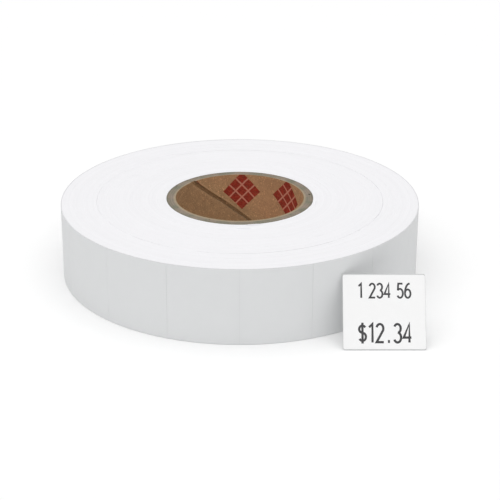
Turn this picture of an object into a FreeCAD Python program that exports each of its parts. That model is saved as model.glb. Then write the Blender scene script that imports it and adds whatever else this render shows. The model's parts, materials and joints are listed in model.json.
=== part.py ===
import FreeCAD, Part
import os
import Sketcher

# A roll of two-line price labels, wound on a paperboard core and lying on its side face,
# with one loose sample label leaning on it. Millimetres, +Z up along the bore.
# The origin is on the bore's axis, at the table that the roll lies on.
#
# Angles run anticlockwise from +X, seen from above. The free end of the tape is at the back
# of the roll, and the outermost turn runs clockwise from it, all the way round.

DIMENSIONS = [
    # alias, value, what it is
    ("web_width", 22.3, "width of the release paper, so also the roll's height"),
    ("label_width", 22.1, "width of a label, across the tape"),
    ("label_length", 20.0, "length of a label, along the tape"),
    ("label_caliper", 0.09, "thickness of a label"),
    ("liner_caliper", 0.07, "thickness of the release paper"),
    ("adhesive_line", 0.015, "space between a label and the paper it sticks to"),
    ("die_cut", 0.08, "width of the cut between two labels"),
    ("roll_radius", 53.0, "outside radius of the full roll"),
    ("bore_radius", 19.05, "radius of the core's hole, half of a one and a half inch core"),
    ("core_wall", 2.75, "wall thickness of the core"),
    ("core_height", 22.2, "height of the core, cut a little short of the tape"),
    ("ply_count", 5, "paperboard plies in the core's wall"),
    ("glue_line", 0.02, "space between two plies"),
    ("wound_gap", 0.035, "space between two wound layers"),
    ("ring_radius", 42.4, "radius where the winding steps sideways"),
    ("telescope", 0.12, "sideways step of the inner windings"),
    ("tail_angle", 96.0, "direction of the tape's free end"),
    ("turn_labels", 16, "labels on the outer turn, the leading one included"),
    ("tip_gap", 0.3, "space between the tape's free end and the paper that goes on under it"),
    ("fold_slit", 0.06, "slit in the release paper where the leading end folds back"),
    ("sample_centre", 38.8, "how far right of the axis the sample label stands"),
    ("sample_foot", 56.2, "how far in front of the axis the sample label's lower edge is"),
    ("sample_backing", 20.6, "height of the release paper under the sample label"),
    ("sample_gap", 0.3, "space between the sample label's top corner and the roll"),
]

VALUES = {alias: value for alias, value, note in DIMENSIONS}


def dim(alias):
    """The expression that reads one cell of the sheet."""
    return "Dimensions." + alias


# Radii of the layers, from the outside in.
LABEL_INNER = f"({dim('roll_radius')} - {dim('label_caliper')})"
LINER_OUTER = f"({LABEL_INNER} - {dim('adhesive_line')})"
LINER_INNER = f"({LINER_OUTER} - {dim('liner_caliper')})"
WINDINGS_OUTER = f"({LINER_INNER} - {dim('wound_gap')})"
CORE_OUTER = f"({dim('bore_radius')} + {dim('core_wall')})"
PLY_STEP = f"(({dim('core_wall')} + {dim('glue_line')}) / {dim('ply_count')})"

# Angles of the outer turn, in degrees. A length along the tape becomes an angle at the label's radius.
DEGREES_PER_MM = f"(180 / pi / {LABEL_INNER})"
LABEL_SWEEP = f"({dim('label_length')} * {DEGREES_PER_MM})"
LABEL_PITCH = f"(({dim('label_length')} + {dim('die_cut')}) * {DEGREES_PER_MM})"
ROLL_TURN = f"({LABEL_PITCH} * ({dim('turn_labels')} - 1))"
FOLD_ANGLE = f"({dim('tail_angle')} + {ROLL_TURN} - 360)"
TAIL_SWEEP = f"(360 - {ROLL_TURN} - {dim('tip_gap')} * {DEGREES_PER_MM})"
SLIT_ANGLE = f"({dim('fold_slit')} * {DEGREES_PER_MM})"

# The sample label's top left corner stands sample_gap clear of the roll, which sets its lean.
SAMPLE_LEFT = f"({dim('sample_centre')} - {dim('web_width')} / 2)"
SAMPLE_REACH = f"({dim('roll_radius')} + {dim('sample_gap')})"
SAMPLE_TOP = f"sqrt({SAMPLE_REACH} ^ 2 - {SAMPLE_LEFT} ^ 2)"
SAMPLE_LEAN = f"asin(({dim('sample_foot')} - {SAMPLE_TOP}) / {dim('sample_backing')})"


def make_sheet(doc):
    """The driving dimensions, one per row."""
    sheet = doc.addObject("Spreadsheet::Sheet", "Dimensions")
    for row, (alias, value, note) in enumerate(DIMENSIONS, start=1):
        sheet.set(f"A{row}", note)
        sheet.set(f"B{row}", str(value))
        sheet.setAlias(f"B{row}", alias)
    doc.recompute()


def origin_plane(body, role):
    """One of a body's own origin planes."""
    for feature in body.Origin.OriginFeatures:
        if feature.Role == role:
            return feature
    raise LookupError(f"{body.Label} has no {role}")


def rectangle_sketch(body, role):
    """A sketch on an origin plane with one rectangle, whose first side lies on the sketch's X axis.

    Its lines are 0 along the bottom, 1 up the right, 2 along the top and 3 down the left.
    """
    sketch = body.newObject("Sketcher::SketchObject", body.Name + "_sketch")
    sketch.AttachmentSupport = (origin_plane(body, role), [""])
    sketch.MapMode = "FlatFace"
    corners = [(10, 0), (20, 0), (20, 10), (10, 10)]
    for index, (x, y) in enumerate(corners):
        next_x, next_y = corners[(index + 1) % 4]
        start = FreeCAD.Vector(x, y, 0)
        end = FreeCAD.Vector(next_x, next_y, 0)
        sketch.addGeometry(Part.LineSegment(start, end))
    for index in range(4):
        sketch.addConstraint(Sketcher.Constraint("Coincident", index, 2, (index + 1) % 4, 1))
    for index in (0, 2):
        sketch.addConstraint(Sketcher.Constraint("Horizontal", index))
    for index in (1, 3):
        sketch.addConstraint(Sketcher.Constraint("Vertical", index))
    sketch.addConstraint(Sketcher.Constraint("PointOnObject", 0, 1, -1))
    return sketch


def bind(sketch, name, kind, first, first_end, second, second_end, expression):
    """A named distance in a sketch, driven by an expression."""
    constraint = Sketcher.Constraint(kind, first, first_end, second, second_end, 10)
    index = sketch.addConstraint(constraint)
    sketch.renameConstraint(index, name)
    sketch.setExpression("Constraints." + name, expression)


def wound_piece(doc, name, inner, outer, height, lift="0", sweep="360", start="0"):
    """A ring, or an arc of one, made by turning its section round the bore's axis."""
    body = doc.addObject("PartDesign::Body", name)
    sketch = rectangle_sketch(body, "XZ_Plane")
    bind(sketch, "inner_radius", "DistanceX", -1, 1, 0, 1, inner)
    bind(sketch, "outer_radius", "DistanceX", -1, 1, 0, 2, outer)
    bind(sketch, "height", "DistanceY", 1, 1, 1, 2, height)
    turned = body.newObject("PartDesign::Revolution", name + "_turned")
    turned.Profile = sketch
    turned.ReferenceAxis = (sketch, ["V_Axis"])
    turned.setExpression("Angle", sweep)
    body.Placement = FreeCAD.Placement(FreeCAD.Vector(), FreeCAD.Rotation(FreeCAD.Vector(0, 0, 1), 1))
    body.setExpression("Placement.Base.z", lift)
    body.setExpression("Placement.Rotation.Angle", start)


def ply_name(index):
    """The name of one ply of the core, counted from the bore."""
    if index == 0:
        return "core_inner_ply"
    if index == VALUES["ply_count"] - 1:
        return "core_outer_ply"
    return f"core_ply_{index + 1}"


def make_core(doc):
    """The plies of the core's wall, from the bore outwards."""
    for index in range(VALUES["ply_count"]):
        inner = f"{dim('bore_radius')} + {index} * {PLY_STEP}"
        outer = f"{inner} + {PLY_STEP} - {dim('glue_line')}"
        wound_piece(doc, ply_name(index), inner, outer, dim("core_height"))


def make_windings(doc):
    """The tape under the outermost turn, in two bands that are a little out of line."""
    wound_piece(
        doc,
        "inner_windings",
        f"{CORE_OUTER} + {dim('wound_gap')}",
        dim("ring_radius"),
        dim("web_width"),
        lift=dim("telescope"),
    )
    wound_piece(
        doc,
        "outer_windings",
        f"{dim('ring_radius')} + {dim('wound_gap')}",
        WINDINGS_OUTER,
        dim("web_width"),
    )


def make_label(doc, name, start):
    """One label of the outermost turn, centred across the release paper."""
    margin = f"({dim('web_width')} - {dim('label_width')}) / 2"
    wound_piece(
        doc,
        name,
        LABEL_INNER,
        dim("roll_radius"),
        dim("label_width"),
        lift=margin,
        sweep=LABEL_SWEEP,
        start=start,
    )


def make_outer_turn(doc):
    """The release paper of the outermost turn and the labels that stay on the roll."""
    wound_piece(
        doc,
        "outer_liner_turn",
        LINER_INNER,
        LINER_OUTER,
        dim("web_width"),
        sweep=f"{ROLL_TURN} - {SLIT_ANGLE}",
        start=f"{FOLD_ANGLE} - {ROLL_TURN}",
    )
    for number in range(1, VALUES["turn_labels"]):
        make_label(doc, f"roll_label_{number:02d}", f"{FOLD_ANGLE} - {number} * {LABEL_PITCH}")


def make_leading_end(doc):
    """The free end of the tape: bare release paper with the first label behind it."""
    wound_piece(
        doc,
        "leading_liner_tail",
        LINER_INNER,
        LINER_OUTER,
        dim("web_width"),
        sweep=TAIL_SWEEP,
        start=FOLD_ANGLE,
    )
    make_label(doc, "leading_label", FOLD_ANGLE)


def flat_piece(doc, name, width, length, caliper, inset, depth):
    """A flat rectangle of the sample, leaning back, with its lower edge near the table.

    inset is how far up the lean it starts, and depth is how far in front of the back face it lies.
    """
    body = doc.addObject("PartDesign::Body", name)
    sketch = rectangle_sketch(body, "XY_Plane")
    bind(sketch, "left_edge", "DistanceX", -1, 1, 0, 1, f"{dim('sample_centre')} - {width} / 2")
    bind(sketch, "width", "DistanceX", 0, 1, 0, 2, width)
    bind(sketch, "length", "DistanceY", 1, 1, 1, 2, length)
    pad = body.newObject("PartDesign::Pad", name + "_pad")
    pad.Profile = sketch
    pad.setExpression("Length", caliper)
    body.Placement = FreeCAD.Placement(FreeCAD.Vector(), FreeCAD.Rotation(FreeCAD.Vector(1, 0, 0), 60))
    lean = SAMPLE_LEAN
    body.setExpression("Placement.Rotation.Angle", f"90 deg - {lean}")
    body.setExpression(
        "Placement.Base.y",
        f"-{dim('sample_foot')} + {inset} * sin({lean}) - {depth} * cos({lean})",
    )
    body.setExpression("Placement.Base.z", f"{inset} * cos({lean}) + {depth} * sin({lean})")


def make_sample(doc):
    """The loose sample label on its square of release paper."""
    border = f"({dim('sample_backing')} - {dim('label_length')}) / 2"
    flat_piece(
        doc,
        "sample_liner",
        dim("web_width"),
        dim("sample_backing"),
        dim("liner_caliper"),
        "0",
        "0",
    )
    flat_piece(
        doc,
        "sample_label",
        dim("label_width"),
        dim("label_length"),
        dim("label_caliper"),
        border,
        f"({dim('liner_caliper')} + {dim('adhesive_line')})",
    )


def check(doc):
    """Stop if anything in the document failed, or if a piece isn't one valid solid."""
    for item in doc.Objects:
        if "Invalid" in item.State or "Error" in item.State:
            raise RuntimeError(f"{item.Label} failed: {item.State}")
    for body in bodies(doc):
        shape = body.Shape
        if shape.isNull() or not shape.isValid() or len(shape.Solids) != 1:
            raise RuntimeError(f"{body.Label} is not one valid solid")


def bodies(doc):
    """The pieces of the model, in the order they were made."""
    return [item for item in doc.Objects if item.isDerivedFrom("PartDesign::Body")]


def main():
    doc = FreeCAD.newDocument("LabelRoll")
    make_sheet(doc)
    make_core(doc)
    make_windings(doc)
    make_outer_turn(doc)
    make_leading_end(doc)
    make_sample(doc)
    doc.recompute()
    check(doc)
    os.makedirs("parts", exist_ok=True)
    for body in bodies(doc):
        body.Shape.exportStep(f"parts/{body.Label}.step")
        box = body.Shape.BoundBox
        print(f"{body.Label:20s} {body.Shape.Volume:10.2f} mm3, from {box.ZMin:.2f} to {box.ZMax:.2f} mm high")


main()
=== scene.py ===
import json
import math
import random

import bpy
import numpy as np
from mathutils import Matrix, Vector, noise


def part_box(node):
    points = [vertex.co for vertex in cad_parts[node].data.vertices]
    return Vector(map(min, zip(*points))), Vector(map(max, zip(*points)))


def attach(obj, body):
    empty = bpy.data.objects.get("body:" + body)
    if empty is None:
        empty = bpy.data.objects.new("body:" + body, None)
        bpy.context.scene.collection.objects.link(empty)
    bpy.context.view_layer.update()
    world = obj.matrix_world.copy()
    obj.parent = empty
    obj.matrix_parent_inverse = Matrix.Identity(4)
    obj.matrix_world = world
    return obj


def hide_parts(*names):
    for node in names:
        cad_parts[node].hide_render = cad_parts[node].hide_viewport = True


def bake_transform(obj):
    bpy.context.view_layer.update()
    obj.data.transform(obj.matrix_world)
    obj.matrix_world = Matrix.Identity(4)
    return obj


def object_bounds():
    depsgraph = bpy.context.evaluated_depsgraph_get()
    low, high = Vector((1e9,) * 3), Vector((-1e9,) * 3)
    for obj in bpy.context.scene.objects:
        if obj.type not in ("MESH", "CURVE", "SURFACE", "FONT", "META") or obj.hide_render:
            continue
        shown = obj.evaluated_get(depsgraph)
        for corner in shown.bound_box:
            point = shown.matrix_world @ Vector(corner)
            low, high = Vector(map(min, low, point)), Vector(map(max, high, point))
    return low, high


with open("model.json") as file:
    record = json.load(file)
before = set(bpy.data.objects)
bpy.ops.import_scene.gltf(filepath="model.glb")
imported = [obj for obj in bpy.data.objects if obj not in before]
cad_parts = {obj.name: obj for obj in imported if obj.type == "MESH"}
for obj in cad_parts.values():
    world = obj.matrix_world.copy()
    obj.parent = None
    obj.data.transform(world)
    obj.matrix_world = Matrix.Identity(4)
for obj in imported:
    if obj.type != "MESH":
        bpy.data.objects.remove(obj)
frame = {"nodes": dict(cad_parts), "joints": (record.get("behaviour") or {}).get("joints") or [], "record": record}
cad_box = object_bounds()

bl_info = {
    "name": "Price Label Roll",
    "version": (1, 0, 0),
    "blender": (4, 5, 0),
    "location": "View3D > Sidebar > Label Roll",
    "description": "Builds a roll of price labels on a paperboard core, with a loose sample label",
    "category": "Add Mesh",
}

MM = 0.001
SHARP_ANGLE = math.radians(35)
CLEAR = 0.001 * MM
RECORD = frame["record"]
JOINTS = {joint["name"]: joint for joint in frame["joints"]}
PLIES = ["core_inner_ply", "core_ply_2", "core_ply_3", "core_ply_4", "core_outer_ply"]
ROLL_LABELS = sorted(name for name in frame["nodes"] if name.startswith("roll_label_"))


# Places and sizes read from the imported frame


def mesh_points(node):
    """The vertices of a CAD node, as an array."""
    return np.array([vertex.co for vertex in frame["nodes"][node].data.vertices])


def radial_span(node):
    """The inner and outer radius of a node that is turned about the bore's axis."""
    points = mesh_points(node)
    radii = np.hypot(points[:, 0], points[:, 1])
    return radii.min(), radii.max()


def height_span(node):
    """The lowest and highest level of a node."""
    low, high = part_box(node)
    return low.z, high.z


def angle_span(node):
    """The first and last direction of a short arc, in radians, anticlockwise from +X."""
    points = mesh_points(node)
    middle = math.atan2(points[:, 1].mean(), points[:, 0].mean())
    turned = np.arctan2(points[:, 1], points[:, 0]) - middle
    turned = (turned + math.pi) % (2 * math.pi) - math.pi
    return middle + turned.min(), middle + turned.max()


def joint_point(name):
    """A point on a joint's axis."""
    return Vector(JOINTS[name]["pos_m"])


FOLD_POINT = joint_point("leading_end_peel")
FOLD_ANGLE = math.atan2(FOLD_POINT.y, FOLD_POINT.x)
CORE_TOP = height_span("core_inner_ply")[1]
TAPE_START, RING_RADIUS = radial_span("inner_windings")
BORE_RADIUS = next(m for m in RECORD["mounts"] if m["name"] == "core_bore")["dims"]["r_mm"] * MM


class Plate:
    """A flat leaning rectangle, measured from its CAD node.

    across runs to the right, up runs up the lean and out points away from the roll.
    """

    def __init__(self, node):
        mesh = frame["nodes"][node].data
        broad = max((p for p in mesh.polygons if p.normal.y < 0), key=lambda p: p.area)
        self.out = broad.normal.copy()
        self.across = Vector((1, 0, 0))
        self.up = self.out.cross(self.across)
        points = [vertex.co for vertex in mesh.vertices]
        spans = []
        for axis in (self.across, self.up, self.out):
            along = [point.dot(axis) for point in points]
            spans.append((min(along), max(along)))
        self.width, self.length, self.thickness = (high - low for low, high in spans)
        lows = [low for low, high in spans]
        self.corner = self.across * lows[0] + self.up * lows[1] + self.out * lows[2]

    def point(self, right, rise, depth):
        """A point of the plate, from its lower left corner on its back face."""
        return self.corner + self.across * right + self.up * rise + self.out * depth


# Meshes


def add_piece(name, vertices, faces, materials, slot, body=None, replaces=()):
    """A mesh piece that rides on a body, or is left free when body is None."""
    mesh = bpy.data.meshes.new(name)
    mesh.from_pydata([tuple(v) for v in vertices], [], faces)
    mesh.update()
    for material in materials:
        mesh.materials.append(material)
    piece = bpy.data.objects.new(name, mesh)
    bpy.context.scene.collection.objects.link(piece)
    if replaces:
        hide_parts(*replaces)
    if body:
        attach(piece, body)
    return piece


def shade(piece):
    """Smooth shading with sharp edges kept."""
    for polygon in piece.data.polygons:
        polygon.use_smooth = True
    piece.data.set_sharp_from_angle(angle=SHARP_ANGLE)


def even_steps(count, length=1.0):
    """Evenly spaced positions from 0 to a length."""
    return [length * k / count for k in range(count + 1)]


def cornered_steps(count, length, corner):
    """Positions from 0 to a length, closer together inside the two rounded corners."""
    rounds = 4
    start = [corner * k / rounds for k in range(rounds)]
    middle = [corner + (length - 2 * corner) * k / count for k in range(count + 1)]
    return start + middle + [length - step for step in reversed(start)]


def sheet_solid(along, across, place, first=0):
    """Vertices and faces of a closed sheet with a thickness.

    along and across are the positions of the grid lines. place(a, b, side) gives the point at two
    positions, with side 0 on the back face and 1 on the front. first is the first vertex's number.
    """
    columns, rows = len(along) - 1, len(across) - 1
    vertices = [place(a, b, side) for side in (0, 1) for a in along for b in across]

    def quad(*corners):
        one_side = (columns + 1) * (rows + 1)
        return [first + side * one_side + i * (rows + 1) + j for i, j, side in corners]

    faces = []
    for i in range(columns):
        for j in range(rows):
            faces.append(quad((i, j, 1), (i + 1, j, 1), (i + 1, j + 1, 1), (i, j + 1, 1)))
            faces.append(quad((i, j, 0), (i, j + 1, 0), (i + 1, j + 1, 0), (i + 1, j, 0)))
    for i in range(columns):
        faces.append(quad((i, 0, 0), (i + 1, 0, 0), (i + 1, 0, 1), (i, 0, 1)))
        faces.append(quad((i, rows, 1), (i + 1, rows, 1), (i + 1, rows, 0), (i, rows, 0)))
    for j in range(rows):
        i = columns
        faces.append(quad((0, j, 1), (0, j + 1, 1), (0, j + 1, 0), (0, j, 0)))
        faces.append(quad((i, j, 0), (i, j + 1, 0), (i, j + 1, 1), (i, j, 1)))
    return vertices, faces


def rounded(a, b, length, width, corner):
    """A place on a rectangle, drawn in where it falls in a rounded corner."""
    past_a = (abs(a - length / 2) - length / 2 + corner) / corner
    past_b = (abs(b - width / 2) - width / 2 + corner) / corner
    if past_a <= 0 or past_b <= 0:
        return a, b
    pull_a = corner * past_a * (1 - math.sqrt(1 - past_b * past_b / 2))
    pull_b = corner * past_b * (1 - math.sqrt(1 - past_a * past_a / 2))
    return a - math.copysign(pull_a, a - length / 2), b - math.copysign(pull_b, b - width / 2)


def polar(radius, angle, level):
    """A point at a radius and direction about the bore's axis."""
    return Vector((radius * math.cos(angle), radius * math.sin(angle), level))


def wavy(*place):
    """Smooth noise from about -1 to 1 at a place."""
    return noise.noise(Vector(place))


# Shader parts


def add_node(tree, kind, inputs=None, **settings):
    """A shader node with its settings, and with each input given a value or linked to a socket."""
    node = tree.nodes.new(kind)
    for key, value in settings.items():
        setattr(node, key, value)
    for key, value in (inputs or {}).items():
        if isinstance(value, bpy.types.NodeSocket):
            tree.links.new(value, node.inputs[key])
        else:
            node.inputs[key].default_value = value
    return node


def maths(tree, operation, *values):
    """The output of a Math node."""
    return add_node(tree, "ShaderNodeMath", dict(enumerate(values)), operation=operation).outputs[0]


def weighted(tree, first, share, second):
    """The first value by a share and the second by the rest."""
    some = maths(tree, "MULTIPLY", first, share)
    return maths(tree, "ADD", some, maths(tree, "MULTIPLY", second, 1 - share))


def blend_colours(tree, factor, first, second):
    """A colour between two others."""
    inputs = {0: factor, 6: first, 7: second}
    return add_node(tree, "ShaderNodeMix", inputs, data_type="RGBA").outputs[2]


def remap(tree, value, from_low, from_high, to_low=0.0, to_high=1.0):
    """A value mapped from one range to another, and clamped."""
    inputs = {0: value, 1: from_low, 2: from_high, 3: to_low, 4: to_high}
    return add_node(tree, "ShaderNodeMapRange", inputs).outputs[0]


def frame_position(tree, scale=(1000, 1000, 1000)):
    """The surface point in the frame's axes, in millimetres unless a stretch is given."""
    coordinates = add_node(tree, "ShaderNodeTexCoord")
    inputs = {0: coordinates.outputs["Object"], 3: scale}
    return add_node(tree, "ShaderNodeMapping", inputs).outputs[0]


def noise_value(tree, place, scale, detail=2.0, roughness=0.5, dimensions="3D"):
    """A noise value about 0.5."""
    inputs = {"Scale": scale, "Detail": detail, "Roughness": roughness}
    inputs["W" if dimensions == "1D" else "Vector"] = place
    return add_node(tree, "ShaderNodeTexNoise", inputs, noise_dimensions=dimensions).outputs[0]


def radius_value(tree, place):
    """The distance from the bore's axis."""
    parts = add_node(tree, "ShaderNodeSeparateXYZ", {0: place})
    x_squared = maths(tree, "MULTIPLY", parts.outputs[0], parts.outputs[0])
    y_squared = maths(tree, "MULTIPLY", parts.outputs[1], parts.outputs[1])
    return maths(tree, "SQRT", maths(tree, "ADD", x_squared, y_squared))


def new_group(name, inputs, outputs):
    """A shader node group with its sockets. Returns the tree and its input node."""
    tree = bpy.data.node_groups.new(name, "ShaderNodeTree")
    for socket, default in inputs:
        made = tree.interface.new_socket(socket, in_out="INPUT", socket_type="NodeSocketFloat")
        made.default_value = default
    for socket in outputs:
        tree.interface.new_socket(socket, in_out="OUTPUT", socket_type="NodeSocketFloat")
    return tree, add_node(tree, "NodeGroupInput").outputs


def close_group(tree, **outputs):
    """Link a group's results to its output node."""
    add_node(tree, "NodeGroupOutput", outputs)
    return tree


def use_group(tree, group, **inputs):
    """A group placed in a material with its own values."""
    node = tree.nodes.new("ShaderNodeGroup")
    node.node_tree = group
    for key, value in inputs.items():
        node.inputs[key].default_value = value
    return node.outputs


def paper_grain_group():
    """Matted fibres: long thin flecks over a soft cloudy formation."""
    tree, given = new_group("paper_grain", [("Fibre", 1.0), ("Cloud", 1.0)], ["Tone", "Height"])
    place = frame_position(tree)
    fine = noise_value(tree, place, maths(tree, "DIVIDE", 6.0, given["Fibre"]), 4.0, 0.65)
    stretched = frame_position(tree, (350, 350, 1400))
    fibres = noise_value(tree, stretched, maths(tree, "DIVIDE", 5.0, given["Fibre"]), 3.0, 0.6)
    clouds = noise_value(tree, place, maths(tree, "DIVIDE", 0.35, given["Cloud"]), 3.0, 0.55)
    height = weighted(tree, fine, 0.6, fibres)
    tone = weighted(tree, height, 0.5, clouds)
    return close_group(tree, Tone=tone, Height=height)


def cut_layers_group():
    """The edge of many layers wound about the bore: fine rings, and broader rings of tension."""
    sockets = [("Layer", 0.16), ("Ragged", 0.5)]
    tree, given = new_group("cut_layers", sockets, ["Line", "Band", "Height"])
    place = frame_position(tree)
    radius = radius_value(tree, place)
    drift = noise_value(tree, place, 0.6, 2.0, 0.5)
    wander = maths(tree, "MULTIPLY", drift, maths(tree, "MULTIPLY", given["Ragged"], 0.1))
    shifted = maths(tree, "ADD", radius, wander)
    saw = maths(tree, "FRACT", maths(tree, "DIVIDE", shifted, given["Layer"]))
    line = remap(tree, maths(tree, "ABSOLUTE", maths(tree, "SUBTRACT", saw, 0.5)), 0.30, 0.48)
    layer_number = maths(tree, "FLOOR", maths(tree, "DIVIDE", shifted, given["Layer"]))
    each = add_node(tree, "ShaderNodeTexWhiteNoise", {"W": layer_number}, noise_dimensions="1D")
    broad = noise_value(tree, radius, 0.55, 3.0, 0.6, "1D")
    band = weighted(tree, each.outputs[0], 0.35, broad)
    torn = noise_value(tree, place, 9.0, 3.0, 0.7)
    height = weighted(tree, band, 0.6, torn)
    height = maths(tree, "SUBTRACT", height, maths(tree, "MULTIPLY", line, 0.5))
    return close_group(tree, Line=line, Band=band, Height=height)


def flecks_group():
    """Scattered dark shives and pale fibres, as in unbleached board."""
    tree, given = new_group("flecks", [("Size", 1.0), ("Amount", 0.5)], ["Dark", "Pale"])
    scale = maths(tree, "DIVIDE", 3.2, given["Size"])
    stretched = frame_position(tree, (900, 900, 2400))
    slanted = frame_position(tree, (1700, 900, 900))
    dark = noise_value(tree, stretched, scale, 2.0, 0.75)
    pale = noise_value(tree, slanted, maths(tree, "MULTIPLY", scale, 0.8), 2.0, 0.75)
    edge = maths(tree, "SUBTRACT", 0.74, maths(tree, "MULTIPLY", given["Amount"], 0.16))
    upper = maths(tree, "ADD", edge, 0.06)
    dark = remap(tree, dark, edge, upper)
    pale = remap(tree, pale, edge, upper)
    return close_group(tree, Dark=dark, Pale=pale)


def handling_group():
    """Faint soiling from handling, in soft patches, stronger near the two cut edges of the tape."""
    sockets = [("Low Edge", 0.0), ("High Edge", 22.3), ("Reach", 1.5)]
    tree, given = new_group("handling", sockets, ["Mask"])
    place = frame_position(tree)
    level = add_node(tree, "ShaderNodeSeparateXYZ", {0: place}).outputs[2]
    from_low = maths(tree, "SUBTRACT", level, given["Low Edge"])
    from_high = maths(tree, "SUBTRACT", given["High Edge"], level)
    nearest = maths(tree, "DIVIDE", maths(tree, "MINIMUM", from_low, from_high), given["Reach"])
    near_edge = remap(tree, nearest, 0.0, 1.0, 1.0, 0.25)
    patches = remap(tree, noise_value(tree, place, 0.12, 4.0, 0.6), 0.45, 0.75)
    return close_group(tree, Mask=maths(tree, "MULTIPLY", near_edge, patches))


GROUPS = {}


def build_groups():
    """Build the shared effects once."""
    GROUPS["grain"] = paper_grain_group()
    GROUPS["layers"] = cut_layers_group()
    GROUPS["flecks"] = flecks_group()
    GROUPS["handling"] = handling_group()


def new_material(name, roughness, specular):
    """A material with a Principled BSDF whose uniform numbers are set on its own sockets."""
    material = bpy.data.materials.new(name)
    material.use_nodes = True
    tree = material.node_tree
    shader = tree.nodes["Principled BSDF"]
    shader.inputs["Roughness"].default_value = roughness
    shader.inputs["Specular IOR Level"].default_value = specular
    return material, tree, shader


def finish_material(tree, shader, colour, height, distance, strength, roughness=None):
    """Link the colour, relief and roughness of a material."""
    tree.links.new(colour, shader.inputs["Base Color"])
    relief = {"Strength": strength, "Distance": distance, "Height": height}
    bump = add_node(tree, "ShaderNodeBump", relief)
    tree.links.new(bump.outputs[0], shader.inputs["Normal"])
    if roughness is not None:
        tree.links.new(roughness, shader.inputs["Roughness"])


def darker(colour, share):
    """A colour scaled towards black."""
    return tuple(channel * share for channel in colour) + (1.0,)


def opaque(colour):
    """A colour with full alpha."""
    return tuple(colour) + (1.0,)


def label_material(name, base):
    """Matt uncoated label face."""
    material, tree, shader = new_material(name, 0.72, 0.25)
    grain = use_group(tree, GROUPS["grain"], Fibre=0.8, Cloud=1.5)
    marks = use_group(tree, GROUPS["handling"])
    tone = remap(tree, grain["Tone"], 0.3, 0.7)
    colour = blend_colours(tree, tone, darker(base, 0.975), opaque(base))
    soil = maths(tree, "MULTIPLY", marks["Mask"], 0.05)
    soiled = blend_colours(tree, soil, colour, darker(base, 0.7))
    roughness = remap(tree, grain["Height"], 0.3, 0.7, 0.66, 0.80)
    finish_material(tree, shader, soiled, grain["Height"], 0.00002, 0.25, roughness)
    return material


def liner_material(base):
    """Release paper, smoother and a little greyer than the label."""
    material, tree, shader = new_material("release_liner", 0.45, 0.4)
    grain = use_group(tree, GROUPS["grain"], Fibre=1.2, Cloud=0.7)
    tone = remap(tree, grain["Tone"], 0.3, 0.7)
    colour = blend_colours(tree, tone, darker(base, 0.94), opaque(base))
    roughness = remap(tree, grain["Tone"], 0.3, 0.7, 0.38, 0.55)
    finish_material(tree, shader, colour, grain["Height"], 0.00001, 0.2, roughness)
    return material


def winding_material(base, turn):
    """The slit edges of the wound tape: white label edges between thin greyer liner edges."""
    material, tree, shader = new_material("wound_edges", 0.8, 0.2)
    layers = use_group(tree, GROUPS["layers"], Layer=turn / MM, Ragged=0.4)
    grain = use_group(tree, GROUPS["grain"], Fibre=0.6, Cloud=2.5)
    band = remap(tree, layers["Band"], 0.25, 0.75)
    colour = blend_colours(tree, band, darker(base, 0.965), opaque(base))
    line = maths(tree, "MULTIPLY", layers["Line"], 0.10)
    colour = blend_colours(tree, line, colour, darker(base, 0.72))
    cloud = remap(tree, grain["Tone"], 0.35, 0.65, 0.06, 0.0)
    colour = blend_colours(tree, cloud, colour, darker(base, 0.8))
    finish_material(tree, shader, colour, layers["Height"], 0.00003, 0.3)
    return material


def seam_rise(tree, parts, core):
    """How far a point of the wall is above the seam, in millimetres."""
    level = maths(tree, "SUBTRACT", parts[2], CORE_TOP / MM)
    angle = maths(tree, "ARCTAN2", parts[1], parts[0])
    turned = maths(tree, "SUBTRACT", angle, core.seam_angle)
    along = maths(tree, "MULTIPLY", turned, BORE_RADIUS / MM * core.seam_slope)
    return maths(tree, "SUBTRACT", level, along)


def mark_masks(tree, core):
    """A row of printed lozenges round the bore: where they are inked, and their pale lattice."""
    place = frame_position(tree)
    parts = add_node(tree, "ShaderNodeSeparateXYZ", {0: place}).outputs
    angle = maths(tree, "ARCTAN2", parts[1], parts[0])
    turned = maths(tree, "SUBTRACT", angle, core.mark_angle)
    along = maths(tree, "MULTIPLY", turned, BORE_RADIUS / MM)
    half_spacing = core.mark_spacing / MM / 2
    wobble = maths(tree, "SUBTRACT", noise_value(tree, place, 1.1, 3.0, 0.6), 0.5)
    across = maths(tree, "ADD", maths(tree, "WRAP", along, half_spacing, -half_spacing),
                   maths(tree, "MULTIPLY", wobble, 0.3))
    across = maths(tree, "DIVIDE", across, core.mark_width / MM / 2)
    rise = maths(tree, "SUBTRACT", parts[2], core.mark_level / MM)
    rise = maths(tree, "DIVIDE", rise, core.mark_height / MM / 2)
    one_way = maths(tree, "ABSOLUTE", maths(tree, "ADD", across, rise))
    other_way = maths(tree, "ABSOLUTE", maths(tree, "SUBTRACT", across, rise))
    inside = remap(tree, maths(tree, "MAXIMUM", one_way, other_way), 0.97, 1.01, 1.0, 0.0)
    lattice = []
    for way in (one_way, other_way):
        from_line = maths(tree, "ABSOLUTE", maths(tree, "SUBTRACT", way, 1 / 3))
        lattice.append(remap(tree, from_line, 0.03, 0.075, 1.0, 0.0))
    on_strip = remap(tree, seam_rise(tree, parts, core), 0.5, 0.7)
    return maths(tree, "MULTIPLY", inside, on_strip), maths(tree, "MAXIMUM", *lattice)


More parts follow.
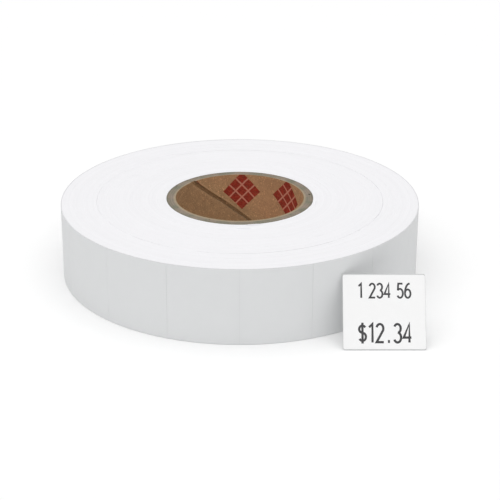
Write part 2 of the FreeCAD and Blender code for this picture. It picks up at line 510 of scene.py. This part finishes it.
def kraft_colour(tree, base):
    """Unbleached paper with fibres, dark shives, pale flecks and soft stains."""
    grain = use_group(tree, GROUPS["grain"], Fibre=1.3, Cloud=0.5)
    flecks = use_group(tree, GROUPS["flecks"], Size=1.5, Amount=0.9)
    cloudy = remap(tree, grain["Tone"], 0.36, 0.64)
    kraft = blend_colours(tree, cloudy, darker(base, 0.80), darker(base, 1.08))
    stains = noise_value(tree, frame_position(tree), 0.16, 3.0, 0.6)
    stains = remap(tree, stains, 0.48, 0.66, 0.0, 0.45)
    kraft = blend_colours(tree, stains, kraft, darker(base, 0.62))
    for kind, strength, share in (("Dark", 0.9, 0.3), ("Pale", 0.75, 1.9)):
        seen = maths(tree, "MULTIPLY", flecks[kind], strength)
        kraft = blend_colours(tree, seen, kraft, darker(base, share))
    return kraft, grain


def lining_material(colours, core):
    """Unbleached lining of the bore, with flecks and faded red marks, painted shade towards the bottom of the bore
    and a painted shade band along the seam.
    """
    material, tree, shader = new_material("core_lining", 0.8, 0.25)
    kraft, grain = kraft_colour(tree, colours.kraft)
    parts = add_node(tree, "ShaderNodeSeparateXYZ", {0: frame_position(tree)}).outputs
    # Painted shade: the lining darkens towards the bottom of the bore.
    painted_bore_shade = remap(tree, parts[2], 4.0, 17.0, 0.42, 0.0)
    kraft = blend_colours(tree, painted_bore_shade, kraft, darker(colours.kraft, 0.42))
    rise = seam_rise(tree, parts, core)
    # Painted shade: a darker band along the lining's seam groove.
    painted_seam_shade = remap(tree, rise, -0.4, 0.4, 0.26, 0.0)
    kraft = blend_colours(tree, painted_seam_shade, kraft, darker(colours.kraft, 0.5))
    upper_strip = remap(tree, rise, 1.0, 8.0, 0.0, 0.24)
    kraft = blend_colours(tree, upper_strip, kraft, opaque(colours.kraft_pink))
    lozenge, pale = mark_masks(tree, core)
    rubbed = remap(tree, grain["Height"], 0.38, 0.50, 0.65, 0.98)
    patchy = remap(tree, noise_value(tree, frame_position(tree), 0.9, 3.0, 0.6), 0.38, 0.62)
    red = blend_colours(tree, patchy, darker(colours.mark, 0.75), darker(colours.mark, 1.2))
    ink = blend_colours(tree, pale, red, opaque(colours.mark_line))
    colour = blend_colours(tree, maths(tree, "MULTIPLY", lozenge, rubbed), kraft, ink)
    finish_material(tree, shader, colour, grain["Height"], 0.00008, 0.6)
    return material


def inner_board_material(base):
    """The face of the second ply, where it shows at the bottom of the lining's seam."""
    material, tree, shader = new_material("core_ply_face", 0.88, 0.15)
    kraft, grain = kraft_colour(tree, darker(base, 0.74)[:3])
    finish_material(tree, shader, kraft, grain["Height"], 0.00008, 0.7)
    return material


def board_material(colours):
    """The cut edge of the core: grey board outside, the tan edge of the lining at the bore, and a painted shadow
    line at its outer rim, next to the windings.
    """
    material, tree, shader = new_material("core_board_edge", 0.9, 0.15)
    layers = use_group(tree, GROUPS["layers"], Layer=0.13, Ragged=2.0)
    flecks = use_group(tree, GROUPS["flecks"], Size=0.5, Amount=0.9)
    place = frame_position(tree)
    ragged = maths(tree, "MULTIPLY", noise_value(tree, place, 1.5, 3.0, 0.6), 0.5)
    reached = maths(tree, "ADD", radius_value(tree, place), ragged)
    depth = maths(tree, "SUBTRACT", reached, BORE_RADIUS / MM)
    lining = remap(tree, depth, 0.55, 0.95, 1.0, 0.0)
    # Painted shadow: a thin darker ring at the outer rim of the core's end, where the windings stand above it.
    painted_rim_shadow = remap(tree, depth, 2.3, 2.7)
    patches = noise_value(tree, place, 0.22, 3.0, 0.55)
    patches = remap(tree, patches, 0.38, 0.62)
    board = blend_colours(tree, patches, opaque(colours.board), opaque(colours.board_warm))
    painted_rim_shadow = maths(tree, "MULTIPLY", painted_rim_shadow, 0.45)
    board = blend_colours(tree, painted_rim_shadow, board, darker(colours.board, 0.6))
    lining = maths(tree, "MULTIPLY", lining, 0.75)
    board = blend_colours(tree, lining, board, opaque(colours.lining_edge))
    band = remap(tree, layers["Band"], 0.25, 0.75, 0.35, 0.0)
    board = blend_colours(tree, band, board, darker(colours.board, 0.5))
    for kind, share in (("Dark", 0.4), ("Pale", 1.5)):
        seen = maths(tree, "MULTIPLY", flecks[kind], 0.5)
        board = blend_colours(tree, seen, board, darker(colours.board, share))
    finish_material(tree, shader, board, layers["Height"], 0.00010, 0.7)
    return material


def ink_material(base):
    """Dark print with a slightly uneven cover."""
    material, tree, shader = new_material("print_ink", 0.6, 0.3)
    grain = use_group(tree, GROUPS["grain"], Fibre=0.5, Cloud=0.3)
    tone = remap(tree, grain["Tone"], 0.35, 0.65)
    colour = blend_colours(tree, tone, opaque(base), darker(base, 2.2))
    finish_material(tree, shader, colour, grain["Height"], 0.00001, 0.3)
    return material


MATERIALS = {}


def build_materials(settings):
    """Build every material once."""
    colours = settings.colours
    build_groups()
    MATERIALS["label"] = label_material("label_face", colours.label)
    # The sample face: label paper with the lighter sample colour, painted light.
    MATERIALS["sample"] = label_material("sample_face", colours.sample)
    MATERIALS["liner"] = liner_material(colours.liner)
    MATERIALS["winding"] = winding_material(colours.winding, settings.winding.turn)
    MATERIALS["lining"] = lining_material(colours, settings.core)
    MATERIALS["ply_face"] = inner_board_material(colours.kraft)
    MATERIALS["board"] = board_material(colours)
    MATERIALS["ink"] = ink_material(colours.ink)


# Settings


class LABELROLL_PG_colours(bpy.types.PropertyGroup):
    """Base colours of the papers, board and print."""

    label: bpy.props.FloatVectorProperty(
        name="Label", description="Label face",
        default=(0.79, 0.80, 0.805), size=3, subtype="COLOR")
    # Painted light: the sample's label paper is set far lighter than the same paper on the roll, to make its face
    # look brightly lit.
    sample: bpy.props.FloatVectorProperty(
        name="Sample", description="Fresh label of the sample",
        default=(0.985, 0.985, 0.985), size=3, subtype="COLOR")
    liner: bpy.props.FloatVectorProperty(
        name="Liner", description="Release paper",
        default=(0.68, 0.69, 0.69), size=3, subtype="COLOR")
    winding: bpy.props.FloatVectorProperty(
        name="Winding", description="Slit edges of the tape",
        default=(0.93, 0.925, 0.945), size=3, subtype="COLOR")
    kraft: bpy.props.FloatVectorProperty(
        name="Kraft", description="Lining of the bore",
        default=(0.50, 0.31, 0.16), size=3, subtype="COLOR")
    kraft_pink: bpy.props.FloatVectorProperty(
        name="Pink kraft", description="Redder cast between the marks",
        default=(0.63, 0.30, 0.165), size=3, subtype="COLOR")
    board: bpy.props.FloatVectorProperty(
        name="Board", description="Cut edge of the core",
        default=(0.262, 0.253, 0.190), size=3, subtype="COLOR")
    board_warm: bpy.props.FloatVectorProperty(
        name="Warm board", description="Browner patches of the core's cut edge",
        default=(0.40, 0.315, 0.255), size=3, subtype="COLOR")
    lining_edge: bpy.props.FloatVectorProperty(
        name="Lining edge", description="Cut edge of the lining",
        default=(0.52, 0.40, 0.25), size=3, subtype="COLOR")
    mark: bpy.props.FloatVectorProperty(
        name="Mark", description="Faded mark in the bore",
        default=(0.30, 0.019, 0.009), size=3, subtype="COLOR")
    mark_line: bpy.props.FloatVectorProperty(
        name="Mark line", description="Thin pale lattice of the mark",
        default=(0.62, 0.25, 0.18), size=3, subtype="COLOR")
    ink: bpy.props.FloatVectorProperty(
        name="Ink", description="Print on the sample",
        default=(0.04, 0.04, 0.042), size=3, subtype="COLOR")


class LABELROLL_PG_core(bpy.types.PropertyGroup):
    """The core's spiral seams and its printed marks."""

    seam_angle: bpy.props.FloatProperty(
        name="Seam angle", description="Direction of the lining's seam at the upper edge",
        default=math.radians(138), subtype="ANGLE", unit="ROTATION")
    seam_slope: bpy.props.FloatProperty(
        name="Seam slope", description="Rise of the seam over its run round the wall", default=0.79)
    seam_gap: bpy.props.FloatProperty(
        name="Seam gap", description="Width of the lining's butt gap",
        default=1.9 * MM, subtype="DISTANCE", unit="LENGTH")
    mark_angle: bpy.props.FloatProperty(
        name="Mark angle", description="Direction of one mark",
        default=math.radians(88), subtype="ANGLE", unit="ROTATION")
    mark_spacing: bpy.props.FloatProperty(
        name="Mark spacing", description="Distance between marks round the wall",
        default=16 * MM, subtype="DISTANCE", unit="LENGTH")
    mark_level: bpy.props.FloatProperty(
        name="Mark level", description="Height of the marks' centres",
        default=17 * MM, subtype="DISTANCE", unit="LENGTH")
    mark_width: bpy.props.FloatProperty(
        name="Mark width", description="Width of a mark",
        default=11.8 * MM, subtype="DISTANCE", unit="LENGTH")
    mark_height: bpy.props.FloatProperty(
        name="Mark height", description="Height of a mark",
        default=12.4 * MM, subtype="DISTANCE", unit="LENGTH")


class LABELROLL_PG_winding(bpy.types.PropertyGroup):
    """The wound tape."""

    turn: bpy.props.FloatProperty(
        name="Turn", description="Thickness of one turn, liner and label",
        default=0.175 * MM, subtype="DISTANCE", unit="LENGTH")
    stray: bpy.props.FloatProperty(
        name="Stray", description="How far single labels stand in or out",
        default=0.009 * MM, subtype="DISTANCE", unit="LENGTH")
    ring_step: bpy.props.FloatProperty(
        name="Ring step", description="How far the inner turns stand above the outer ones",
        default=0.035 * MM, subtype="DISTANCE", unit="LENGTH")
    slit: bpy.props.FloatProperty(
        name="Slit", description="Opening of the knife slit between two labels",
        default=0.003 * MM, subtype="DISTANCE", unit="LENGTH")
    label_pitch: bpy.props.FloatProperty(
        name="Label pitch", description="Length of a label and the cut after it",
        default=20.08 * MM, subtype="DISTANCE", unit="LENGTH")


class LABELROLL_PG_sample(bpy.types.PropertyGroup):
    """The loose sample label."""

    bow: bpy.props.FloatProperty(
        name="Bow", description="How far the middle stands forward of the edges",
        default=0.18 * MM, subtype="DISTANCE", unit="LENGTH")
    corner: bpy.props.FloatProperty(
        name="Corner", description="Radius of the corners",
        default=0.45 * MM, subtype="DISTANCE", unit="LENGTH")
    upper_line: bpy.props.StringProperty(
        name="Upper line", description="Small figures", default="1 234 56")
    lower_line: bpy.props.StringProperty(
        name="Lower line", description="Large figures", default="$12.34")
    ink_thickness: bpy.props.FloatProperty(
        name="Ink thickness", description="Height of the print over the label",
        default=0.012 * MM, subtype="DISTANCE", unit="LENGTH")


class LABELROLL_PG_studio(bpy.types.PropertyGroup):
    """Camera, light and floor."""

    distance: bpy.props.FloatProperty(
        name="Distance", description="Camera to the middle of the roll",
        default=435.1 * MM, subtype="DISTANCE", unit="LENGTH")
    elevation: bpy.props.FloatProperty(
        name="Elevation", description="Camera's angle above the table",
        default=math.radians(22.52), subtype="ANGLE", unit="ROTATION")
    lens: bpy.props.FloatProperty(
        name="Lens", description="Focal length in millimetres on a 36 mm sensor", default=104.2)
    ambient: bpy.props.FloatProperty(
        name="Ambient", description="Strength of the white surround", default=0.375)
    key: bpy.props.FloatProperty(name="Key", description="Strength of the main light", default=2.03)
    key_swing: bpy.props.FloatProperty(
        name="Key swing", description="Main light's angle to the left of the camera",
        default=math.radians(20), subtype="ANGLE", unit="ROTATION")
    key_softness: bpy.props.FloatProperty(
        name="Key softness", description="Width of the main light seen from the table",
        default=math.radians(100), subtype="ANGLE", unit="ROTATION")
    key_rise: bpy.props.FloatProperty(
        name="Key rise", description="Main light's angle above the table",
        default=math.radians(80), subtype="ANGLE", unit="ROTATION")
    floor_glow: bpy.props.FloatProperty(
        name="Floor glow", description="Light that the table adds under the roll", default=0.05)


class LABELROLL_PG_settings(bpy.types.PropertyGroup):
    """All the settings of the roll."""

    colours: bpy.props.PointerProperty(type=LABELROLL_PG_colours)
    core: bpy.props.PointerProperty(type=LABELROLL_PG_core)
    winding: bpy.props.PointerProperty(type=LABELROLL_PG_winding)
    sample: bpy.props.PointerProperty(type=LABELROLL_PG_sample)
    studio: bpy.props.PointerProperty(type=LABELROLL_PG_studio)


# The core


LIP_REACH = 2.4 * MM
LIP_COLUMNS = 6
WALL_COLUMNS = 168
TORN_HEIGHT = 0.06 * MM


def build_ply(index, node, core, chooser):
    """One spiral-wound ply, open along its own butt seam, with torn fibres at the cut ends."""
    inner, outer = radial_span(node)
    low, high = height_span(node)
    lines_bore = index == 0
    gap = core.seam_gap if lines_bore else core.seam_gap * chooser.uniform(0.2, 0.4)
    seam_top = core.seam_angle + index * chooser.uniform(1.2, 1.9)
    slope = core.seam_slope if index % 2 == 0 else -core.seam_slope
    open_angle = gap / inner
    round_bore = 2 * math.pi - open_angle
    near = LIP_REACH / inner
    lip = even_steps(LIP_COLUMNS, near)[:-1]
    wall = [near + step for step in even_steps(WALL_COLUMNS, round_bore - 2 * near)]
    along = lip + wall + [round_bore - step for step in reversed(lip)]

    def place(turned, level, side):
        seam = seam_top - (high - level) / slope / inner
        meander = 0.25 * MM * wavy(level / (5 * MM), index * 3.7, 0.0) / inner
        angle = seam + meander - open_angle / 2 - turned
        radius = outer if side == 0 else inner
        if side == 1 and lines_bore:
            from_upper_lip = turned * inner / MM
            from_lower_lip = (round_bore - turned) * inner / MM
            radius -= 0.16 * MM * math.exp(-(from_upper_lip / 0.5) ** 2)
            radius += 0.10 * MM * math.exp(-(from_lower_lip / 0.7) ** 2)
            radius += 0.05 * MM * wavy(angle * 2.5, level / (6 * MM), 3.1)
        torn = abs(wavy(math.cos(angle) * 60, math.sin(angle) * 60, index * 5 + side * 2))
        if level == low:
            level += 0.05 * MM * torn
        if level == high:
            burr = 0.10 * MM if side == 1 and lines_bore else 0.0
            level += TORN_HEIGHT + burr + TORN_HEIGHT * (torn - 0.5)
        return polar(radius, angle, level)

    rows = [low + (high - low) * step for step in even_steps(16)]
    rows[-1] = high
    vertices, faces = sheet_solid(along, rows, place)
    lining_or_face = MATERIALS["lining"] if lines_bore else MATERIALS["ply_face"]
    slot = "core_lining" if lines_bore else "core_kraft"
    piece = add_piece(node + "_board", vertices, faces, [MATERIALS["board"], lining_or_face],
                      body="roll", slot=slot, replaces=[node])
    shade(piece)
    for polygon in piece.data.polygons:
        outward = Vector((polygon.center.x, polygon.center.y, 0)).normalized()
        if polygon.normal.dot(outward) < -0.7:
            polygon.material_index = 1


class LABELROLL_OT_core(bpy.types.Operator):
    """Build the plies of the paperboard core"""

    bl_idname = "label_roll.core"
    bl_label = "Core"

    def execute(self, context):
        chooser = random.Random(11)
        for index, node in enumerate(PLIES):
            build_ply(index, node, context.scene.label_roll.core, chooser)
        return {"FINISHED"}


# The wound tape


# Where the last inner turn stands higher: radians right of the front, and degrees to each side
RING_LIFTS = ((0.70, 44), (-0.95, 34))
FRONT = -math.pi / 2
SETTLED = 0.05 * MM


def bump_at(radius, angle, centre, reach, middle, spread):
    """1 at a radius and direction, falling to 0 at a reach across and a spread in degrees round."""
    swing = math.degrees(math.atan2(math.sin(angle - middle), math.cos(angle - middle)))
    across = max(0.0, 1 - ((radius - centre) / reach) ** 2)
    return across * max(0.0, 1 - (swing / spread) ** 2)


def first_turns(radius, angle, stray):
    """Short lifted laps in front of the core, a dip at its right, and loose edges at the ring."""
    rise = 0.0
    for lap, middle, spread in ((0.55 * MM, FRONT + 0.17, 9), (2.6 * MM, FRONT + 0.05, 6)):
        at = TAPE_START + lap
        rise += 0.30 * MM * bump_at(radius, angle, at, 0.30 * MM, middle, spread)
        rise -= 0.30 * MM * bump_at(radius, angle, at + 0.5 * MM, 0.25 * MM, middle, spread)
    rise -= 0.50 * MM * bump_at(radius, angle, TAPE_START + 0.5 * MM, 0.6 * MM, FRONT + 1.34, 8)
    loose = max(0.0, 1 - (RING_RADIUS - radius) / (0.5 * MM))
    lifted = max(bump_at(radius, angle, radius, MM, FRONT + swing, spread)
                 for swing, spread in RING_LIFTS)
    return rise + loose * (3.0 * stray + (0.07 * lifted - 0.025) * MM)


def even_turns(radius, angle, stray):
    """Turns with nothing out of line."""
    return 0.0


def label_stray(winding, run, number):
    """How far one label's edge stands in or out, from the length of tape wound before it."""
    label = math.floor(run / winding.label_pitch)
    return winding.stray * (2 * noise.cell(Vector((label + 0.5, number + 0.5, 0.5))) - 1)


def build_band(node, winding, settle, out_of_line, columns, seed):
    """A band of turns, each a separate step in the two cut faces."""
    chooser = random.Random(seed)
    inner, outer = radial_span(node)
    low, high = height_span(node)
    turns = round((outer - inner) / winding.turn)
    width = (outer - inner) / turns
    nick = width * 0.06
    edges = []
    run = 0.0
    for turn in range(turns):
        start = inner + turn * width
        tilt = chooser.uniform(-1, 1) * winding.stray
        edges.append((start + (nick if turn else 0), run, tilt))
        edges.append((start + width - (nick if turn < turns - 1 else 0), run, tilt))
        run += 2 * math.pi * (start + width / 2)
    vertices = []
    for column in range(columns):
        angle = 2 * math.pi * column / columns
        upper, lower = [], []
        half_x, half_y = math.cos(angle) * 0.5, math.sin(angle) * 0.5
        for radius, run, tilt in edges:
            wound = run + radius * angle
            stray = label_stray(winding, wound, 1)
            slow = 0.030 * MM * wavy(radius / (3.5 * MM), half_x, half_y)
            rise = slow + tilt + stray + out_of_line(radius, angle, stray)
            upper.append(polar(radius, angle, high - settle + rise))
            lower.append(polar(radius, angle, low + abs(label_stray(winding, wound, 2) + tilt) / 2))
        vertices += upper + lower[::-1]
    loop = 4 * turns
    faces = []
    for column in range(columns):
        here = column * loop
        there = ((column + 1) % columns) * loop
        for k in range(loop):
            after = (k + 1) % loop
            faces.append([here + k, here + after, there + after, there + k])
    return add_piece(node + "_tape", vertices, faces, [MATERIALS["winding"]],
                     body="roll", slot="wound_tape", replaces=[node])


class LABELROLL_OT_windings(bpy.types.Operator):
    """Build the two bands of wound tape"""

    bl_idname = "label_roll.windings"
    bl_label = "Windings"

    def execute(self, context):
        winding = context.scene.label_roll.winding
        proud = height_span("inner_windings")[1] - height_span("outer_windings")[1]
        settle = proud + SETTLED - winding.ring_step
        build_band("inner_windings", winding, settle, first_turns, 120, 21)
        build_band("outer_windings", winding, SETTLED, even_turns, 180, 22)
        return {"FINISHED"}


# The outermost turn


def curved_sheet(first, last, radii, levels, columns, rows, edge_wave):
    """Vertices and faces of a thin sheet that follows the roll from one direction to another."""
    inner, outer = radii
    low, high = levels

    def place(angle, share, side):
        level = low + share * (high - low)
        if share in (0.0, 1.0):
            level += (1 if share == 0.0 else -1) * edge_wave * abs(wavy(angle * 9, share * 7, 0.5))
        return polar(outer if side else inner, angle, level)

    along = [first + turned for turned in even_steps(columns, last - first)]
    return sheet_solid(along, even_steps(rows), place)


def add_tape_piece(name, sheet, material, node, slot, body=None):
    """A piece of label or release paper whose two slit edges match the wound edges."""
    materials = [material, MATERIALS["winding"]]
    piece = add_piece(name, *sheet, materials, body=body, slot=slot, replaces=[node])
    shade(piece)
    for polygon in piece.data.polygons:
        if abs(polygon.normal.z) > 0.7:
            polygon.material_index = 1
    return piece


def build_label(node, body, winding):
    """One label as a thin curved sheet. On the roll it meets the next one at a knife slit."""
    first, last = angle_span(node)
    inner, outer = radial_span(node)
    if node in ROLL_LABELS:
        last = first + (winding.label_pitch - winding.slit) / outer
    sheet = curved_sheet(first, last, (inner, outer), height_span(node), 40, 12, 0.012 * MM)
    return add_tape_piece(node + "_face", sheet, MATERIALS["label"], node, "label_paper", body)


class LABELROLL_OT_outer_turn(bpy.types.Operator):
    """Build the release paper of the outermost turn and the labels on it"""

    bl_idname = "label_roll.outer_turn"
    bl_label = "Outer turn"

    def execute(self, context):
        winding = context.scene.label_roll.winding
        node = "outer_liner_turn"
        radii = radial_span(node)
        slit = 0.06 * MM / radii[1]
        first = angle_span("leading_liner_tail")[1] - 2 * math.pi + slit
        sheet = curved_sheet(first, FOLD_ANGLE - slit, radii, height_span(node), 420, 6, 0.01 * MM)
        add_tape_piece(node + "_strip", sheet, MATERIALS["liner"], node, "release_liner", "roll")
        for label in ROLL_LABELS:
            build_label(label, "roll", winding)
        return {"FINISHED"}


# The leading end


class LABELROLL_OT_leading_end(bpy.types.Operator):
    """Build the free end of the tape and the first label on it"""

    bl_idname = "label_roll.leading_end"
    bl_label = "Leading end"

    def execute(self, context):
        node = "leading_liner_tail"
        first, last = angle_span(node)
        sheet = curved_sheet(first, last, radial_span(node), height_span(node), 150, 8, 0.01 * MM)
        tail = add_tape_piece(node + "_strip", sheet, MATERIALS["liner"], node, "release_liner")
        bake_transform(tail)
        label = build_label("leading_label", None, context.scene.label_roll.winding)
        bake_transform(label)
        return {"FINISHED"}


# The sample label

# Strokes of the figures in a box 1 wide and 2 high. A stroke is a list of points and arcs, and an
# arc is (centre x, centre y, radius x, radius y, first angle, last angle) in degrees.
GLYPHS = {
    "1": [[(0.1, 1.62), (0.52, 1.98), (0.52, 0.0)]],
    "2": [[(0.5, 1.5, 0.44, 0.47, 165, -30), (0.06, 0.03), (0.98, 0.03)]],
    "3": [[(0.48, 1.5, 0.42, 0.47, 155, -80)], [(0.48, 0.53, 0.46, 0.53, 85, -155)]],
    "4": [[(0.74, 0.0), (0.74, 1.97), (0.0, 0.52), (1.0, 0.52)]],
    "5": [[(0.92, 1.97), (0.2, 1.97), (0.12, 1.14), (0.47, 0.62, 0.48, 0.62, 125, -150)]],
    "6": [[(0.5, 0.58, 0.46, 0.58, 180, -180)], [(0.84, 0.60, 0.8, 1.38, 88, 178)]],
    "$": [[(0.5, 1.42, 0.42, 0.38, 30, 270), (0.5, 0.6, 0.44, 0.42, 88, -150)],
          [(0.5, 2.12), (0.5, -0.12)]],
    ".": [[(0.24, 0.1), (0.5, 0.1)]],
}
CHARACTER_WIDTHS = {".": 0.74, " ": 0.62, "1": 0.72}
CHARACTER_GAP = 0.27


def stroke_points(stroke):
    """The points of a stroke, with its arcs divided."""
    points = []
    for step in stroke:
        if len(step) == 2:
            points.append(step)
            continue
        x, y, across, up, first, last = step
        pieces = max(4, round(abs(last - first) / 12))
        for k in range(pieces + 1):
            angle = math.radians(first + (last - first) * k / pieces)
            points.append((x + across * math.cos(angle), y + up * math.sin(angle)))
    return [Vector((x, y)) for x, y in points]


def stroke_sides(points, width):
    """The left and right side of a stroke of an even width, mitred at its corners."""
    sides = []
    for k, point in enumerate(points):
        before = (point - points[k - 1]).normalized() if k else None
        after = (points[k + 1] - point).normalized() if k < len(points) - 1 else None
        before = before or after
        after = after or before
        normal = Vector((-(before.y + after.y), before.x + after.x))
        if normal.length < 0.2:
            normal = Vector((-before.y, before.x))
        normal.normalize()
        spread = max(0.45, normal.dot(Vector((-before.y, before.x))))
        sides.append((point - normal * width / 2 / spread, point + normal * width / 2 / spread))
    return sides


def text_strokes(text, left, right, base, top, width):
    """The sides of every stroke of a line of figures that fills a box, in metres on the label."""
    advance = [CHARACTER_WIDTHS.get(character, 1.0) + CHARACTER_GAP for character in text]
    scale_x = (right - left) / (sum(advance) - CHARACTER_GAP)
    scale_y = (top - base) / 2
    lines = []
    pen = 0.0
    for character, step in zip(text, advance):
        stroke_width = width * (1.25 if character == "." else 1.0)
        for stroke in GLYPHS.get(character, []):
            points = [Vector((left + (pen + point.x) * scale_x, base + point.y * scale_y))
                      for point in stroke_points(stroke)]
            lines.append(stroke_sides(points, stroke_width))
        pen += step
    return lines


def build_line(name, plate, lines, surface, thickness, bow):
    """A line of figures as raised ink on the label."""
    vertices, faces = [], []
    for number, sides in enumerate(lines):
        floor = surface + (number % 3) * thickness * 0.1  # strokes that cross don't share a face

        def place(step, edge, side):
            flat = sides[step][edge]
            return plate.point(flat.x, flat.y, floor + side * thickness + bow(flat.x, flat.y))

        some, more = sheet_solid(range(len(sides)), (0, 1), place, first=len(vertices))
        vertices += some
        faces += more
    add_piece(name, vertices, faces, [MATERIALS["ink"]], body="sample_face", slot="printed_label")


def build_flat_sheet(node, name, material, body, slot, corner, bow_at):
    """A flat rectangle with rounded corners and a slight bow."""
    plate = Plate(node)

    def place(right, rise, side):
        right, rise = rounded(right, rise, plate.width, plate.length, corner)
        return plate.point(right, rise, side * plate.thickness + bow_at(plate, right, rise))

    vertices, faces = sheet_solid(cornered_steps(22, plate.width, corner),
                                  cornered_steps(22, plate.length, corner), place)
    piece = add_piece(name, vertices, faces, [material], body=body, slot=slot, replaces=[node])
    shade(piece)
    return plate


class LABELROLL_OT_sample(bpy.types.Operator):
    """Build the loose sample label, its release paper and its printed figures"""

    bl_idname = "label_roll.sample"
    bl_label = "Sample label"

    def execute(self, context):
        sample = context.scene.label_roll.sample
        backing = Plate("sample_liner")

        def bow_at(plate, right, rise):
            offset = plate.corner - backing.corner
            across = (right + offset.dot(backing.across)) / backing.width
            up = (rise + offset.dot(backing.up)) / backing.length
            return sample.bow * 4 * up * (1 - up) * (0.8 + 0.2 * math.sin(math.pi * across))

        build_flat_sheet("sample_liner", "sample_liner_sheet", MATERIALS["liner"],
                         "sample", "release_liner", sample.corner, bow_at)
        face = build_flat_sheet("sample_label", "sample_label_face", MATERIALS["sample"],
                                "sample_face", "printed_label", sample.corner, bow_at)

        def face_bow(right, rise):
            return bow_at(face, right, rise)

        left, right = 0.185 * face.width, 0.825 * face.width
        surface = face.thickness + CLEAR
        for name, text, base, top, stroke in (
            ("sample_upper_figures", sample.upper_line, 0.69, 0.885, 0.50 * MM),
            ("sample_lower_figures", sample.lower_line, 0.09, 0.34, 0.62 * MM),
        ):
            lines = text_strokes(text, left, right, base * face.length, top * face.length, stroke)
            build_line(name, face, lines, surface, sample.ink_thickness, face_bow)
        return {"FINISHED"}


# The studio


TABLE_REACH = 3.0
CAMERA_SHIFT = (0.0204, -0.037)


def build_floor(studio):
    """A plain white table."""
    material, _, shader = new_material("white_table", 0.9, 0.1)
    shader.inputs["Base Color"].default_value = (0.95, 0.95, 0.95, 1)
    shader.inputs["Emission Color"].default_value = (1, 1, 1, 1)
    shader.inputs["Emission Strength"].default_value = studio.floor_glow
    level = cad_box[0].z - 0.02 * MM
    corners = [(x * TABLE_REACH, y * TABLE_REACH, level)
               for x, y in ((-1, -1), (1, -1), (1, 1), (-1, 1))]
    mesh = bpy.data.meshes.new("table")
    mesh.from_pydata(corners, [], [(0, 1, 2, 3)])
    mesh.materials.append(material)
    floor = bpy.data.objects.new("table", mesh)
    bpy.context.scene.collection.objects.link(floor)


def build_light(studio):
    """A wide soft light from above the camera, the same all over the table."""
    level = math.cos(studio.key_rise)
    toward = Vector((-level * math.sin(studio.key_swing), -level * math.cos(studio.key_swing),
                     math.sin(studio.key_rise)))
    data = bpy.data.lights.new("key_light", "SUN")
    data.energy = studio.key
    data.angle = studio.key_softness
    lamp = bpy.data.objects.new("key_light", data)
    lamp.location = toward
    lamp.rotation_mode = "QUATERNION"
    lamp.rotation_quaternion = toward.to_track_quat("Z", "Y")
    bpy.context.scene.collection.objects.link(lamp)


def build_camera(studio, target):
    """The camera, level from side to side, with a small shift for the framing."""
    data = bpy.data.cameras.new("camera")
    data.sensor_width = 36
    data.lens = studio.lens
    data.shift_x, data.shift_y = CAMERA_SHIFT
    camera = bpy.data.objects.new("camera", data)
    back = Vector((0, -math.cos(studio.elevation), math.sin(studio.elevation)))
    camera.location = target + back * studio.distance
    camera.rotation_mode = "QUATERNION"
    camera.rotation_quaternion = (-back).to_track_quat("-Z", "Y")
    bpy.context.scene.collection.objects.link(camera)
    bpy.context.scene.camera = camera


class LABELROLL_OT_studio(bpy.types.Operator):
    """Build the table, the light and the camera"""

    bl_idname = "label_roll.studio"
    bl_label = "Studio"

    def execute(self, context):
        studio = context.scene.label_roll.studio
        scene = context.scene
        low, high = height_span("outer_windings")
        target = Vector((0, 0, (low + high) / 2))
        world = bpy.data.worlds.new("white_surround")
        world.use_nodes = True
        tree = world.node_tree
        seen = add_node(tree, "ShaderNodeLightPath").outputs["Is Camera Ray"]
        strength = remap(tree, seen, 0.0, 1.0, studio.ambient, 1.0)
        background = tree.nodes["Background"]
        background.inputs["Color"].default_value = (1, 1, 1, 1)
        tree.links.new(strength, background.inputs["Strength"])
        scene.world = world
        scene.view_settings.view_transform = "Standard"
        scene.view_settings.look = "None"
        build_floor(studio)
        build_light(studio)
        build_camera(studio, target)
        return {"FINISHED"}


class LABELROLL_OT_materials(bpy.types.Operator):
    """Build the shared shader effects and the materials"""

    bl_idname = "label_roll.materials"
    bl_label = "Materials"

    def execute(self, context):
        build_materials(context.scene.label_roll)
        return {"FINISHED"}


class LABELROLL_PT_panel(bpy.types.Panel):
    """Lists the pieces of the roll and their settings"""

    bl_label = "Label Roll"
    bl_idname = "LABELROLL_PT_panel"
    bl_space_type = "VIEW_3D"
    bl_region_type = "UI"
    bl_category = "Label Roll"

    def draw(self, context):
        settings = context.scene.label_roll
        for name in ("colours", "core", "winding", "sample", "studio"):
            group = getattr(settings, name)
            box = self.layout.box()
            box.label(text=name.title())
            for setting in group.bl_rna.properties:
                if not setting.is_readonly and setting.identifier != "name":
                    box.prop(group, setting.identifier)
        for operator in OPERATORS:
            self.layout.operator(operator.bl_idname)


OPERATORS = (
    LABELROLL_OT_materials,
    LABELROLL_OT_core,
    LABELROLL_OT_windings,
    LABELROLL_OT_outer_turn,
    LABELROLL_OT_leading_end,
    LABELROLL_OT_sample,
    LABELROLL_OT_studio,
)
CLASSES = (
    LABELROLL_PG_colours,
    LABELROLL_PG_core,
    LABELROLL_PG_winding,
    LABELROLL_PG_sample,
    LABELROLL_PG_studio,
    LABELROLL_PG_settings,
    *OPERATORS,
    LABELROLL_PT_panel,
)


def register():
    for cls in CLASSES:
        bpy.utils.register_class(cls)
    bpy.types.Scene.label_roll = bpy.props.PointerProperty(type=LABELROLL_PG_settings)


def unregister():
    del bpy.types.Scene.label_roll
    for cls in reversed(CLASSES):
        bpy.utils.unregister_class(cls)


def main():
    register()
    bpy.ops.label_roll.materials()
    bpy.ops.label_roll.core()
    bpy.ops.label_roll.windings()
    bpy.ops.label_roll.outer_turn()
    bpy.ops.label_roll.leading_end()
    bpy.ops.label_roll.sample()
    bpy.ops.label_roll.studio()


if __name__ == "__main__":
    main()
